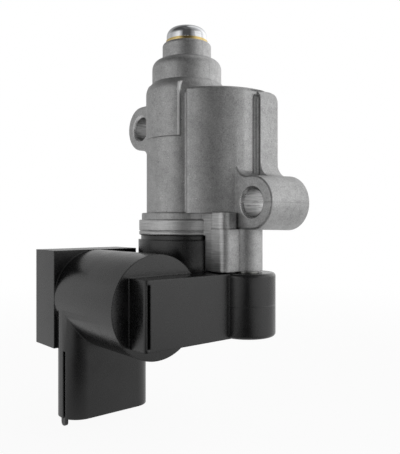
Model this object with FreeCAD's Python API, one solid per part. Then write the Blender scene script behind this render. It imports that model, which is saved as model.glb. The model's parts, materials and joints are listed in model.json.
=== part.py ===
"""Idle air control valve: a rotary air valve in a die-cast body, turned by a two-coil motor.

Millimetres. +Z runs up the rotor axis and +Y points at the engine, square to the flange.
Every piece is drawn from the point where the rotor axis crosses the joint between the casting
and the motor housing. The files are written with their origin on the mounting face instead,
halfway between the two screw holes, because that is where the valve is placed and held.
Each function below makes one physical piece, and each piece is written to its own file.
"""
import math
import os

import FreeCAD
import Part

# Directions
X = FreeCAD.Vector(1, 0, 0)
Y = FreeCAD.Vector(0, 1, 0)
Z = FreeCAD.Vector(0, 0, 1)

# Rotor shaft and its two 5 x 13 x 4 ball bearings
SHAFT_R = 2.5
BEARING_R = 6.5
BEARING_W = 4.0
RACE_WALL = 1.05
BALL_COUNT = 7
BALL_GAP = 0.03

# Valve chamber and the sector that turns in it
BORE_R = 8.5
CHAMBER_FLOOR = 7.4
CHAMBER_TOP = 35.0
SECTOR_GAP = 0.12
SECTOR_END_GAP = 0.5
SECTOR_WALL = 1.5
SECTOR_WEB = 1.6
SECTOR_HUB_R = 4.3
SECTOR_HALF_ANGLE = 34.0
SECTOR_REST_ANGLE = -40.0
TURN_TO_SHUT = 37.0
TURN_TO_OPEN = 25.0

# Casting, turned part of the outline
BODY_R = 10.8
BODY_TOP = 41.4
SHOULDER_ROUND = 4.5
NECK_R = 9.3
NECK_H = 5.35
NECK_ROUND = 2.6
SPOUT_R = 6.55
SPOUT_H = 4.5
SPOUT_ROUND = 0.9
SPOUT_BORE_R = 4.6
RING_R = 12.8
RING_H = 4.0
RING_GROOVE_Z = 1.1
STEP_R = 12.1
STEP_H = 1.8

# Raised pad on the side of the casting
PAD_RAISE = 0.6
PAD_BOTTOM = 25.2
PAD_SHORT = 2.35
PAD_EDGE_ANGLE = -49.0
PAD_FACE_ANGLE = 5.0

# Outlet duct bulging from the casting
DUCT_CENTRE_X = 3.1
DUCT_CENTRE_Y = 6.9
DUCT_R = 17.0
DUCT_SIDE_X = 19.6
DUCT_EDGE_ANGLE = -66.5
DUCT_FLANK_LEAN = 24.0
DUCT_WALL = 2.3
DUCT_BOTTOM = 5.6
DUCT_TOP = 36.9
DUCT_EDGE_ROUND = 0.9
DUCT_FRONT_ROUND = 1.2
VALLEY_ROUND = 0.8
DUCT_ROOT_ROUND = 0.9
TUBE_WALL = 2.1
PORT_ANGLE = -2.5
PORT_HALF_ANGLE = 22.5
PORT_SILL = 2.0
PORT_HEAD = 2.6
GROOVE_Y = 5.2
GROOVE_WALL_LAP = 2.0
GROOVE_R = 0.95
GROOVE_SHORT = 1.5

# Mounting flange, square to +Y
FLANGE_Y = 13.3
FLANGE_T = 6.3
FLANGE_CENTRE_X = 0.8
FLANGE_HALF_W = 20.0
FLANGE_BOTTOM = 1.5
FLANGE_CORNER = 3.0
WINDOW_W = 11.3
WINDOW_WEB = 7.1
WINDOW_CORNER = 1.6
WINDOW_SILL = 4.1
WINDOW_HEAD = 4.3
WINDOW_DEPTH = 4.9
WINDOW_OVERLAP = 0.6

# Two ears for M6 screws
EAR_SPACING_X = 47.0
EAR_LOW_Z = 8.1
EAR_HIGH_Z = 31.4
EAR_R = 6.5
EAR_DRAFT = 0.3
EAR_FRONT_Y = 0.2
EAR_HOLE_R = 3.3
EAR_CHAMFER = 0.65
EAR_FILLET = 3.8
EAR_EDGE_ROUND = 0.6
EAR_ROOT_X = 8.0

# Lugs that take the motor housing screws
LUG_FACE_Y = -4.2
LUG_OUT = 0.8
LUG_PAD_IN = 3.7
LUG_PAD_PROUD = 0.3
LUG_SKIRT_PROUD = 0.3
LUG_SKIRT_OUT = 0.6
LUG_ROOT = 4.0
LUG_SIDE_ROUND = 0.5
LUG_SKIRT_ROUND = 0.2
LUG_CORNER = 2.0
LUG_TOP = 5.7
LUG_STEP_Z = 1.7
LUG_BOTTOM = -8.7
POST_Y = 3.9
POST_R = 4.0
LUG_CLEARANCE = 0.2

# Motor housing, moulded in one piece round the core, coils and terminals
COLLAR_R = 13.0
COLLAR_TOP = -1.2
COLLAR_NECK_R = 12.3
SPIGOT_R = 11.1
SPIGOT_H = 2.2
SPIGOT_GAP = 0.1
WELL_R = 8.3
WELL_FLOOR_T = 1.75
COIL_Y = -19.6
COIL_Z = -16.25
COIL_HOUSING_R = 12.3
COIL_HALF_L = 13.8
BLOCK_L = 11.3
BLOCK_PROUD = 0.06
BLOCK_ROUND = 0.9
ARM_T = 6.4
ARM_FRONT_Y = -27.4
ARM_TOP = -9.05
ARM_H = 15.6
ARM_ROUND = 0.8
ARM_LAP = 1.0
BRIDGE_INSET = 0.3
POST_INSET = 1.3
LOBE_R = 7.2
ARM_SLOT_W = 0.8
ARM_SLOT_DEPTH = 1.2
ARM_SLOT_LIP = 0.5
ARM_SLOT_BASE = 0.8
ARM_SLOT_HEAD = 1.0

# Connector shell under the square block
PLUG_INSET = 3.3
PLUG_HALF_W = 5.3
PLUG_HALF_L = 12.1
PLUG_BOTTOM = -45.15
PLUG_WALL = 1.4
PLUG_DEPTH = 15.0
PLUG_KEY_W = 2.2
PLUG_TONGUE_L = 2.2
PLUG_TONGUE_ROOT = 3.0
PLUG_END_FLAT = 0.4
PLUG_KEYWAY_W = 0.8
PLUG_OVERSHOOT = 3.0
TERMINAL_PITCH = 4.8
TERMINAL_T = 0.8
TERMINAL_W = 2.3
TERMINAL_TIP_GAP = 3.2
TERMINAL_TOP_GAP = 0.2
TERMINAL_COVER = 1.0

# Laminated core, bobbin and coils
CORE_H = 9.0
YOKE_W = 6.0
LIMB_T = 4.4
CORE_COVER = 1.3
POLE_HALF_W = 6.8
POLE_WALL = 0.9
POLE_SLEEVE_GAP = 0.8
BOBBIN_WALL = 0.9
BOBBIN_FLANGE_T = 1.0
BOBBIN_FLANGE_R = 10.6
BOBBIN_FOOT_DROP = 1.4
BOBBIN_FOOT_RISE = 3.2
COIL_R = 10.0
COIL_END_GAP = 1.6

# Rotor magnet
MAGNET_R = 7.5
MAGNET_H = 17.4
MAGNET_END_GAP = 1.95
MAGNET_DROP = 5.4
MAGNET_HUB_R = 3.9

# Carrier plate of the lower bearing
CARRIER_R = 10.2
CARRIER_T = 2.8
CARRIER_HUB_R = 8.0
CARRIER_BOSS_BOTTOM = 1.25
SEAL_R = 4.6
SEAL_H = 1.35
SEAL_GAP = 0.06
LIP_T = 0.8
LIP_R = 3.2
PIN_R = 1.0
PIN_CIRCLE_R = 6.2
PIN_SUNK = 1.5
PIN_STANDS = 1.8
PIN_GAP_ANGLE = 0.7

# Screws, sleeves, cap and small parts
SCREW_R = 2.0
SCREW_HEAD_R = 3.5
SCREW_HEAD_H = 2.6
SCREW_IN_POST = 7.4
SCREW_BLIND_EXTRA = 1.2
SOCKET_R = 1.45
SOCKET_DEPTH = 1.4
SLEEVE_R = 2.9
SLEEVE_BORE_R = 2.1
HEAD_RECESS_GAP = 0.4
HEAD_SUNK = 0.4
ORING_R = 0.55
CLIP_T = 0.6
CLIP_R = 4.1
CLIP_BED_R = 2.2
WASHER_INNER_R = 5.0
WASHER_T = 0.6
WASHER_GAP = 0.1
CAP_R = 5.45
CAP_PLUG_R = 4.9
CAP_PLUG_L = 3.2
CAP_H = 3.6
CAP_ROUND = 2.5
BRASS_RING_R = 5.62
BRASS_RING_T = 0.75
SHAFT_ABOVE = 1.4
SHAFT_BELOW = 0.8

# Places worked out from the sizes above
NECK_TOP = BODY_TOP + NECK_H
SPOUT_TOP = NECK_TOP + SPOUT_H
SEAT_TOP = CHAMBER_TOP + BEARING_W + WASHER_T
SPIGOT_BORE_R = SPIGOT_R + SPIGOT_GAP
CARRIER_BOTTOM = SPIGOT_H
CARRIER_TOP = CARRIER_BOTTOM + CARRIER_T
LOWER_BEARING_TOP = CARRIER_BOSS_BOTTOM + BEARING_W
DUCT_AT_EAR_X = DUCT_CENTRE_X + math.sqrt(DUCT_R ** 2 - (DUCT_CENTRE_Y - EAR_FRONT_Y) ** 2)
FLANGE_FRONT_Y = FLANGE_Y - FLANGE_T
FLANGE_RIGHT_X = FLANGE_CENTRE_X + FLANGE_HALF_W
FLANGE_LEFT_X = FLANGE_CENTRE_X - FLANGE_HALF_W
EAR_RIGHT_X = FLANGE_CENTRE_X + EAR_SPACING_X / 2
EAR_LEFT_X = FLANGE_CENTRE_X - EAR_SPACING_X / 2
WINDOW_BOTTOM = FLANGE_BOTTOM + WINDOW_SILL
WINDOW_TOP = DUCT_TOP - WINDOW_HEAD
WINDOW_FLOOR_Y = FLANGE_Y - WINDOW_DEPTH
PORT_BOTTOM = CHAMBER_FLOOR + PORT_SILL
PORT_TOP = CHAMBER_TOP - PORT_HEAD
PAD_TOP = BODY_TOP - PAD_SHORT
GROOVE_TOP = DUCT_TOP - GROOVE_SHORT
ARM_BOTTOM = ARM_TOP - ARM_H
ARM_OUTER_X = COIL_HALF_L + ARM_T
BLOCK_OUTER_X = COIL_HALF_L + BLOCK_L
POST_X = ARM_OUTER_X - POST_INSET
LUG_OUTER_X = POST_X + LUG_OUT
LUG_PAD_X = POST_X - LUG_PAD_IN
PLUG_X = PLUG_INSET - COIL_HALF_L
MAGNET_TOP = -MAGNET_DROP
MAGNET_BOTTOM = MAGNET_TOP - MAGNET_H
WELL_FLOOR = MAGNET_BOTTOM - MAGNET_END_GAP
HOUSING_BOTTOM = WELL_FLOOR - WELL_FLOOR_T
SECTOR_R = BORE_R - SECTOR_GAP
SECTOR_BOTTOM = CHAMBER_FLOOR + SECTOR_END_GAP
SECTOR_TOP = CHAMBER_TOP - SECTOR_END_GAP
SHAFT_BOTTOM = MAGNET_BOTTOM - SHAFT_BELOW
SHAFT_TOP = CHAMBER_TOP + BEARING_W + CLIP_T + SHAFT_ABOVE
PLUG_FLOOR = PLUG_BOTTOM + PLUG_DEPTH
LIMB_INNER_X = ARM_OUTER_X - CORE_COVER - LIMB_T
POLE_R = WELL_R + POLE_WALL
COIL_BED_R = math.hypot(YOKE_W / 2, CORE_H / 2) + BOBBIN_WALL
SLEEVE_TOP = LUG_BOTTOM
SLEEVE_BOTTOM = ARM_BOTTOM + SCREW_HEAD_H + HEAD_SUNK
POSTS_X = (POST_X, -POST_X)
MOUNT_CENTRE = FreeCAD.Vector(FLANGE_CENTRE_X, FLANGE_Y, (EAR_LOW_Z + EAR_HIGH_Z) / 2)


# Building blocks

def vec(x, y, z):
    return FreeCAD.Vector(x, y, z)


def box(x0, x1, y0, y1, z0, z1):
    return Part.makeBox(x1 - x0, y1 - y0, z1 - z0, vec(x0, y0, z0))


def cylinder(radius, z0, z1, x=0.0, y=0.0):
    return Part.makeCylinder(radius, z1 - z0, vec(x, y, z0), Z)


def tube(outer, inner, z0, z1, x=0.0, y=0.0):
    return cylinder(outer, z0, z1, x, y).cut(cylinder(inner, z0, z1, x, y))


def joined(first, *others):
    """One solid from several that overlap or touch."""
    whole = first
    for other in others:
        whole = whole.fuse(other)
    return whole


def rounded_wire(corners):
    """Closed wire through (point, radius) corners, each one rounded by its own radius."""
    edges = []
    ends = []
    count = len(corners)
    for i in range(count):
        point, radius = corners[i]
        before = (corners[i - 1][0] - point).normalize()
        after = (corners[(i + 1) % count][0] - point).normalize()
        if radius == 0:
            ends.append((point, point, None))
            continue
        half = before.getAngle(after) / 2
        reach = radius / math.tan(half)
        middle = (before + after).normalize()
        crown = point + middle * (radius / math.sin(half) - radius)
        ends.append((point + before * reach, point + after * reach, crown))
    for i in range(count):
        start, stop, crown = ends[i]
        if crown is not None:
            edges.append(Part.Arc(start, crown, stop).toShape())
        following = ends[(i + 1) % count][0]
        if stop.distanceToPoint(following) > 1e-6:
            edges.append(Part.makeLine(stop, following))
    return Part.Wire(edges)


def prism(corners, direction):
    """Solid swept straight from a rounded outline."""
    return Part.Face(rounded_wire(corners)).extrude(direction)


def plan(corners, z0, z1):
    """Upright solid from an outline of (x, y, radius) corners."""
    outline = [(vec(x, y, z0), radius) for x, y, radius in corners]
    return prism(outline, Z * (z1 - z0))


def rectangle(x0, x1, y0, y1, radius):
    return [(x0, y0, radius), (x1, y0, radius), (x1, y1, radius), (x0, y1, radius)]


def turned(corners):
    """Solid of revolution about Z from an outline of (radius, z, rounding) corners."""
    outline = [(vec(r, 0, z), rounding) for r, z, rounding in corners]
    return Part.Face(rounded_wire(outline)).revolve(vec(0, 0, 0), Z, 360)


def wedge(radius, angle, half_angle, z0, z1):
    """Pie slice about the rotor axis, centred on an angle."""
    slice_ = Part.makeCylinder(radius, z1 - z0, vec(0, 0, z0), Z, 2 * half_angle)
    slice_.rotate(vec(0, 0, 0), Z, angle - half_angle)
    return slice_


def polar(radius, angle):
    """Plan position at a radius and an angle from the rotor axis."""
    turn = math.radians(angle)
    return radius * math.cos(turn), radius * math.sin(turn)


def mirrored(shape):
    """The same shape on the other side of the rotor axis."""
    return shape.mirror(vec(0, 0, 0), X)


# Casting

def body_outline():
    """Turned part of the casting: joint ring, step, barrel, neck and spout."""
    step_top = RING_H + STEP_H
    return turned([
        (0, 0, 0),
        (RING_R, 0, 0.3),
        (RING_R, RING_H, 0.25),
        (STEP_R, RING_H, 0),
        (STEP_R, step_top, 0.3),
        (BODY_R, step_top, 0),
        (BODY_R, BODY_TOP, SHOULDER_ROUND),
        (NECK_R - SHOULDER_ROUND, BODY_TOP, 0),
        (NECK_R - SHOULDER_ROUND, BODY_TOP + 0.5, 0),
        (NECK_R, BODY_TOP + 0.5, 0),
        (NECK_R, NECK_TOP, NECK_ROUND),
        (SPOUT_R, NECK_TOP, 0),
        (SPOUT_R, SPOUT_TOP, SPOUT_ROUND),
        (0, SPOUT_TOP, 0),
    ])


def neck_root():
    """Short straight length that carries the neck down into the shoulder."""
    return cylinder(NECK_R, BODY_TOP - SHOULDER_ROUND, BODY_TOP + 0.6)


def side_pad():
    """Raised pad that fades out round the barrel, with a slanted edge on its proud side."""
    raised = turned([
        (0, PAD_BOTTOM, 0),
        (BODY_R, PAD_BOTTOM, 0),
        (BODY_R, BODY_TOP, SHOULDER_ROUND),
        (0, BODY_TOP, 0),
    ])
    raised.translate(vec(*polar(PAD_RAISE, PAD_EDGE_ANGLE), 0))
    kept = box(-3 * BODY_R, 0, -2 * BODY_R, 2 * BODY_R, PAD_BOTTOM, PAD_TOP)
    kept.rotate(vec(0, 0, 0), Z, PAD_FACE_ANGLE)
    kept.translate(vec(*polar(BODY_R + PAD_RAISE, PAD_EDGE_ANGLE), 0))
    return raised.common(kept)


def duct_edge():
    """Front left edge of the duct, where its nose meets its flank."""
    dx, dy = polar(DUCT_R, DUCT_EDGE_ANGLE)
    return DUCT_CENTRE_X + dx, DUCT_CENTRE_Y + dy


def duct_outline():
    """Outside of the outlet duct: a broad nose that runs back into the flange."""
    edge_x, edge_y = duct_edge()
    back_y = FLANGE_Y - 0.5
    side_y = DUCT_CENTRE_Y - math.sqrt(DUCT_R ** 2 - (DUCT_SIDE_X - DUCT_CENTRE_X) ** 2)
    run = BODY_R * 0.6
    root_x = edge_x - run * math.sin(math.radians(DUCT_FLANK_LEAN))
    root_y = edge_y + run * math.cos(math.radians(DUCT_FLANK_LEAN))
    nose_x, nose_y = polar(DUCT_R, DUCT_EDGE_ANGLE / 2)
    side = vec(DUCT_SIDE_X, side_y, DUCT_BOTTOM)
    nose = vec(DUCT_CENTRE_X + nose_x, DUCT_CENTRE_Y + nose_y, DUCT_BOTTOM)
    edge = vec(edge_x, edge_y, DUCT_BOTTOM)
    root = vec(root_x, root_y, DUCT_BOTTOM)
    outline = Part.Wire([
        Part.Arc(side, nose, edge).toShape(),
        Part.makeLine(edge, root),
        Part.makeLine(root, vec(root_x, back_y, DUCT_BOTTOM)),
        Part.makeLine(vec(root_x, back_y, DUCT_BOTTOM), vec(DUCT_SIDE_X, back_y, DUCT_BOTTOM)),
        Part.makeLine(vec(DUCT_SIDE_X, back_y, DUCT_BOTTOM), side),
    ])
    duct = Part.Face(outline).extrude(Z * (DUCT_TOP - DUCT_BOTTOM))
    upright = [e for e in duct.Edges if e.BoundBox.ZLength > 1
               and abs(e.BoundBox.XMin - edge_x) < 0.01 and abs(e.BoundBox.YMin - edge_y) < 0.01]
    duct = duct.makeFillet(DUCT_FRONT_ROUND, upright)
    rim = [e for e in duct.Edges if e.BoundBox.ZMin > DUCT_TOP - 0.01]
    return duct.makeFillet(DUCT_EDGE_ROUND, rim)


def valley_fill():
    """Casting fillet in the valley between the barrel and the flank of the duct."""
    edge_x, edge_y = duct_edge()
    lean = math.radians(DUCT_FLANK_LEAN)
    along_x, along_y = -math.sin(lean), math.cos(lean)
    out_x, out_y = -math.cos(lean), -math.sin(lean)
    start_x = edge_x + out_x * VALLEY_ROUND
    start_y = edge_y + out_y * VALLEY_ROUND
    reach = BODY_R + VALLEY_ROUND
    middle = start_x * along_x + start_y * along_y
    run = -middle - math.sqrt(middle ** 2 + reach ** 2 - start_x ** 2 - start_y ** 2)
    cx, cy = start_x + along_x * run, start_y + along_y * run
    on_flank = (cx - out_x * VALLEY_ROUND, cy - out_y * VALLEY_ROUND)
    on_body = (cx * BODY_R / reach, cy * BODY_R / reach)
    root = (cx * 0.8 + 0.5, cy * 0.8 + 0.5)
    fill = plan([(root[0], root[1], 0), (on_body[0], on_body[1], 0), (on_flank[0], on_flank[1], 0)],
                DUCT_BOTTOM, DUCT_TOP - DUCT_EDGE_ROUND)
    return fill.cut(cylinder(VALLEY_ROUND, DUCT_BOTTOM - 1, DUCT_TOP, cx, cy))


def duct_root():
    """Concave casting fillet where the flat top of the duct meets the barrel."""
    size = DUCT_ROOT_ROUND
    low = DUCT_TOP - DUCT_EDGE_ROUND
    ring = tube(BODY_R + size, BODY_R - 1, low, DUCT_TOP + size)
    scoop = Part.makeTorus(BODY_R + size, size, vec(0, 0, DUCT_TOP + size), Z)
    ring = ring.cut(scoop)
    outline = duct_outline()
    tall = outline.fuse(outline.translated(Z * (2 * size)))
    return ring.common(tall)


def groove_wall():
    """Sloping wall that carries the side of the duct out to the edge of the flange."""
    return plan([
        (DUCT_SIDE_X - GROOVE_WALL_LAP, GROOVE_Y, 0),
        (DUCT_SIDE_X, GROOVE_Y, 0),
        (FLANGE_RIGHT_X, FLANGE_FRONT_Y, 0),
        (DUCT_SIDE_X - GROOVE_WALL_LAP, FLANGE_FRONT_Y, 0),
    ], EAR_LOW_Z, DUCT_TOP - FLANGE_CORNER / 2)


def flange_plate():
    """Flange blank, before its windows."""
    corners = [
        (vec(FLANGE_LEFT_X, FLANGE_FRONT_Y, FLANGE_BOTTOM), FLANGE_CORNER),
        (vec(FLANGE_RIGHT_X, FLANGE_FRONT_Y, FLANGE_BOTTOM), FLANGE_CORNER),
        (vec(FLANGE_RIGHT_X, FLANGE_FRONT_Y, DUCT_TOP), FLANGE_CORNER),
        (vec(FLANGE_LEFT_X, FLANGE_FRONT_Y, DUCT_TOP), FLANGE_CORNER),
    ]
    return prism(corners, Y * FLANGE_T)


def ear_outline(centre_x, centre_z, root_x, wall_x, side, radius, y):
    """Outline of one ear at depth y: round end, and a concave fillet along the wall beside it.

    side is 1 where the fillet climbs from the top of the ear and -1 where it hangs below.
    """
    outward = 1 if centre_x > root_x else -1
    fillet = min(EAR_FILLET, 0.9 * abs(centre_x - wall_x))
    corner = fillet * (1 - math.sqrt(0.5))
    plain = centre_z - side * radius
    inner = centre_z + side * radius
    start = vec(centre_x, y, plain)
    end = vec(centre_x, y, inner)
    tip = vec(centre_x + outward * radius, y, centre_z)
    root_plain = vec(root_x, y, plain)
    foot = vec(wall_x + outward * fillet, y, inner)
    bend = vec(wall_x + outward * corner, y, inner + side * corner)
    wall = vec(wall_x, y, inner + side * fillet)
    root_inner = vec(root_x, y, inner + side * fillet)
    return Part.Wire([
        Part.makeLine(root_plain, start),
        Part.Arc(start, tip, end).toShape(),
        Part.makeLine(end, foot),
        Part.Arc(foot, bend, wall).toShape(),
        Part.makeLine(wall, root_inner),
        Part.makeLine(root_inner, root_plain),
    ])


def ear(centre_x, centre_z, root_x, wall_x, side):
    """Ear that grows slightly towards the mounting face, as its draft needs."""
    front = ear_outline(centre_x, centre_z, root_x, wall_x, side, EAR_R, EAR_FRONT_Y)
    back = ear_outline(centre_x, centre_z, root_x, wall_x, side, EAR_R + EAR_DRAFT, FLANGE_Y)
    whole = Part.makeLoft([front, back], True)
    rim = [e for e in whole.Edges if e.BoundBox.YMax < EAR_FRONT_Y + 0.01
           and abs(e.CenterOfMass.x - root_x) > 0.01]
    return whole.makeFillet(EAR_EDGE_ROUND, rim)


def ear_hole(centre_x, centre_z):
    """Clearance hole for an M6 screw, chamfered at the front."""
    hole = Part.makeCylinder(EAR_HOLE_R, FLANGE_Y - EAR_FRONT_Y + 2,
                             vec(centre_x, EAR_FRONT_Y - 1, centre_z), Y)
    rim = EAR_HOLE_R + EAR_CHAMFER
    chamfer = Part.makeCone(rim + 1, EAR_HOLE_R, EAR_CHAMFER + 1,
                            vec(centre_x, EAR_FRONT_Y - 1, centre_z), Y)
    return hole.fuse(chamfer)


def corner_fill(wall_x, floor_z, outward, y0, y1):
    """Concave casting fillet where the top of an ear meets the edge of the flange."""
    size = EAR_FILLET
    x0 = min(wall_x - outward, wall_x + outward * size)
    x1 = max(wall_x - outward, wall_x + outward * size)
    block = box(x0, x1, y0, y1, floor_z - 1, floor_z + size)
    scoop = Part.makeCylinder(size, y1 - y0, vec(wall_x + outward * size, y0, floor_z + size), Y)
    return block.cut(scoop)


def screw_lug_right():
    """Lug beside the lower ear: a padded boss, a stouter foot under it and a round screw post."""
    root_x = BODY_R - LUG_ROOT
    face_y = LUG_FACE_Y - LUG_PAD_PROUD
    boss = plan([(root_x, LUG_FACE_Y, 0), (LUG_PAD_X, LUG_FACE_Y, 0), (LUG_PAD_X, face_y, 0),
                 (LUG_OUTER_X, face_y, LUG_CORNER), (LUG_OUTER_X, 0, LUG_SIDE_ROUND),
                 (root_x, 0, 0)],
                LUG_BOTTOM, LUG_TOP)
    foot_y = face_y - LUG_SKIRT_PROUD
    foot_x = LUG_OUTER_X + LUG_SKIRT_OUT
    foot = plan([(root_x, LUG_FACE_Y, 0), (LUG_PAD_X, LUG_FACE_Y, 0),
                 (LUG_PAD_X, foot_y, LUG_SKIRT_ROUND),
                 (foot_x, foot_y, LUG_CORNER), (foot_x, POST_Y, 0), (root_x, POST_Y, 0)],
                LUG_BOTTOM, LUG_STEP_Z)
    post = cylinder(POST_R, LUG_BOTTOM, LUG_STEP_Z, POST_X, POST_Y)
    return joined(boss, foot, post)


def screw_lug_left():
    """Plain post on the far side, joined to the ring by a straight rib."""
    post = cylinder(POST_R, LUG_BOTTOM, RING_H, -POST_X, POST_Y)
    rib = box(-POST_X, -BODY_R + 1, POST_Y - POST_R * 0.75, POST_Y + POST_R * 0.75,
              LUG_BOTTOM, RING_H)
    return joined(post, rib)


def flange_windows():
    """The two air windows of the flange, and the ways from them to the valve chamber."""
    left_x1 = FLANGE_CENTRE_X - WINDOW_WEB / 2
    left_x0 = left_x1 - WINDOW_W
    right_x0 = FLANGE_CENTRE_X + WINDOW_WEB / 2
    right_x1 = right_x0 + WINDOW_W
    cuts = []
    for x0, x1 in ((left_x0, left_x1), (right_x0, right_x1)):
        corners = [
            (vec(x0, WINDOW_FLOOR_Y, WINDOW_BOTTOM), WINDOW_CORNER),
            (vec(x1, WINDOW_FLOOR_Y, WINDOW_BOTTOM), WINDOW_CORNER),
            (vec(x1, WINDOW_FLOOR_Y, WINDOW_TOP), WINDOW_CORNER),
            (vec(x0, WINDOW_FLOOR_Y, WINDOW_TOP), WINDOW_CORNER),
        ]
        cuts.append(prism(corners, Y * (WINDOW_DEPTH + 1)))
    cuts.append(box(-BORE_R + 0.6, left_x1, 1.0, WINDOW_FLOOR_Y + WINDOW_OVERLAP,
                    PORT_BOTTOM, PORT_TOP))
    return cuts


def outlet_duct():
    """Inside of the outlet duct, round the tube of the valve chamber."""
    side_x = DUCT_SIDE_X - DUCT_WALL
    edge_x, _ = duct_edge()
    port_x = (BORE_R + TUBE_WALL) * math.cos(math.radians(PORT_HALF_ANGLE))
    port_y = (BORE_R + TUBE_WALL) * math.sin(math.radians(PORT_ANGLE - PORT_HALF_ANGLE))
    nose = cylinder(DUCT_R - DUCT_WALL, PORT_BOTTOM, PORT_TOP, DUCT_CENTRE_X, DUCT_CENTRE_Y)
    front = box(edge_x + DUCT_WALL, side_x, -DUCT_R, WINDOW_FLOOR_Y + WINDOW_OVERLAP,
                PORT_BOTTOM, PORT_TOP)
    middle = box(port_x, side_x, port_y + TUBE_WALL, WINDOW_FLOOR_Y + WINDOW_OVERLAP,
                 PORT_BOTTOM, PORT_TOP)
    right_x0 = FLANGE_CENTRE_X + WINDOW_WEB / 2
    back = box(right_x0, side_x, DUCT_CENTRE_Y, WINDOW_FLOOR_Y + WINDOW_OVERLAP,
               PORT_BOTTOM, PORT_TOP)
    duct = joined(front, middle).common(nose).fuse(back)
    duct = duct.cut(cylinder(BORE_R + TUBE_WALL, PORT_BOTTOM - 1, PORT_TOP + 1))
    port = wedge(BORE_R + TUBE_WALL + 0.6, PORT_ANGLE, PORT_HALF_ANGLE, PORT_BOTTOM, PORT_TOP)
    return duct.fuse(port)


def side_groove():
    """Upright half-round groove between the duct and the flange, closed at its upper end."""
    middle_x = (DUCT_SIDE_X + FLANGE_RIGHT_X) / 2
    middle_y = (GROOVE_Y + FLANGE_FRONT_Y) / 2
    top = GROOVE_TOP - GROOVE_R
    channel = cylinder(GROOVE_R, EAR_LOW_Z + EAR_R, top, middle_x, middle_y)
    return channel.fuse(Part.makeSphere(GROOVE_R, vec(middle_x, middle_y, top)))


def body_bores():
    """Everything bored into the casting along the rotor axis."""
    return [
        cylinder(SPIGOT_BORE_R, -1, SPIGOT_H),
        cylinder(CARRIER_R, SPIGOT_H - 0.1, CARRIER_TOP),
        cylinder(BORE_R, CARRIER_TOP - 0.1, CHAMBER_TOP),
        cylinder(BEARING_R, CHAMBER_TOP - 0.1, SEAT_TOP),
        cylinder(SPOUT_BORE_R, SEAT_TOP - 0.1, SPOUT_TOP - CAP_PLUG_L),
        cylinder(CAP_PLUG_R, SPOUT_TOP - CAP_PLUG_L, SPOUT_TOP + 1),
    ]


def valve_body():
    """Die-cast body: chamber, duct, flange, ears and motor lugs in one casting."""
    low_top = EAR_LOW_Z + EAR_R
    lugs = joined(screw_lug_right(), screw_lug_left())
    lugs = lugs.cut(cylinder(COLLAR_R + LUG_CLEARANCE, LUG_BOTTOM - 1, 0))
    body = joined(
        body_outline(),
        neck_root(),
        side_pad(),
        duct_outline(),
        valley_fill(),
        duct_root(),
        flange_plate(),
        groove_wall(),
        ear(EAR_RIGHT_X, EAR_LOW_Z, FLANGE_CENTRE_X + EAR_ROOT_X, DUCT_AT_EAR_X, 1),
        ear(EAR_LEFT_X, EAR_HIGH_Z, FLANGE_CENTRE_X - EAR_ROOT_X, FLANGE_LEFT_X, -1),
        corner_fill(FLANGE_RIGHT_X, low_top, 1, FLANGE_FRONT_Y, FLANGE_Y),
        lugs,
    )
    cuts = body_bores() + flange_windows() + [outlet_duct(), side_groove()]
    cuts.append(ear_hole(EAR_RIGHT_X, EAR_LOW_Z))
    cuts.append(ear_hole(EAR_LEFT_X, EAR_HIGH_Z))
    screw_end = LUG_BOTTOM + SCREW_IN_POST + SCREW_BLIND_EXTRA
    for x in POSTS_X:
        cuts.append(cylinder(SCREW_R, LUG_BOTTOM - 1, screw_end, x, POST_Y))
    cuts.append(tube(RING_R + 1, RING_R - 0.2, RING_GROOVE_Z - 0.15, RING_GROOVE_Z + 0.15)
                .cut(box(-2 * RING_R, 2 * RING_R, LUG_FACE_Y, 2 * RING_R, 0, RING_H)))
    for cut in cuts:
        body = body.cut(cut)
    return body


# Cap on the spout

def brass_ring():
    return tube(BRASS_RING_R, CAP_PLUG_R, SPOUT_TOP, SPOUT_TOP + BRASS_RING_T)


def end_cap():
    """Polished steel cap with a plug pressed into the spout."""
    seat = SPOUT_TOP + BRASS_RING_T
    return turned([
        (0, SPOUT_TOP - CAP_PLUG_L, 0),
        (CAP_PLUG_R, SPOUT_TOP - CAP_PLUG_L, 0),
        (CAP_PLUG_R, seat, 0),
        (CAP_R, seat, 0),
        (CAP_R, seat + CAP_H, CAP_ROUND),
        (0, seat + CAP_H, 0),
    ])


# Rotor

def rotor_shaft():
    shaft = cylinder(SHAFT_R, SHAFT_BOTTOM, SHAFT_TOP)
    clip_z = CHAMBER_TOP + BEARING_W
    return shaft.cut(tube(SHAFT_R + 1, CLIP_BED_R, clip_z, clip_z + CLIP_T))


def shaft_clip():
    """Retaining ring above the upper bearing, open at one side."""
    clip_z = CHAMBER_TOP + BEARING_W
    ring = tube(CLIP_R, CLIP_BED_R, clip_z, clip_z + CLIP_T)
    return ring.cut(box(0, 2 * CLIP_R, -CLIP_BED_R * 0.6, CLIP_BED_R * 0.6, clip_z - 1, clip_z + 2))


def rotary_valve():
    """Sector wall on two webs and a hub, which covers and uncovers the outlet port."""
    height = SECTOR_TOP - SECTOR_BOTTOM
    sector = wedge(SECTOR_R, SECTOR_REST_ANGLE, SECTOR_HALF_ANGLE, SECTOR_BOTTOM, SECTOR_TOP)
    hollow = cylinder(SECTOR_R - SECTOR_WALL, SECTOR_BOTTOM + SECTOR_WEB, SECTOR_TOP - SECTOR_WEB)
    sector = sector.cut(hollow)
    hub = cylinder(SECTOR_HUB_R, SECTOR_BOTTOM, SECTOR_BOTTOM + height)
    return joined(sector, hub).cut(cylinder(SHAFT_R, SECTOR_BOTTOM - 1, SECTOR_TOP + 1))


def magnet_hub():
    return tube(MAGNET_HUB_R, SHAFT_R, MAGNET_BOTTOM, MAGNET_TOP)


def rotor_magnet():
    return tube(MAGNET_R, MAGNET_HUB_R, MAGNET_BOTTOM, MAGNET_TOP)


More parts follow.
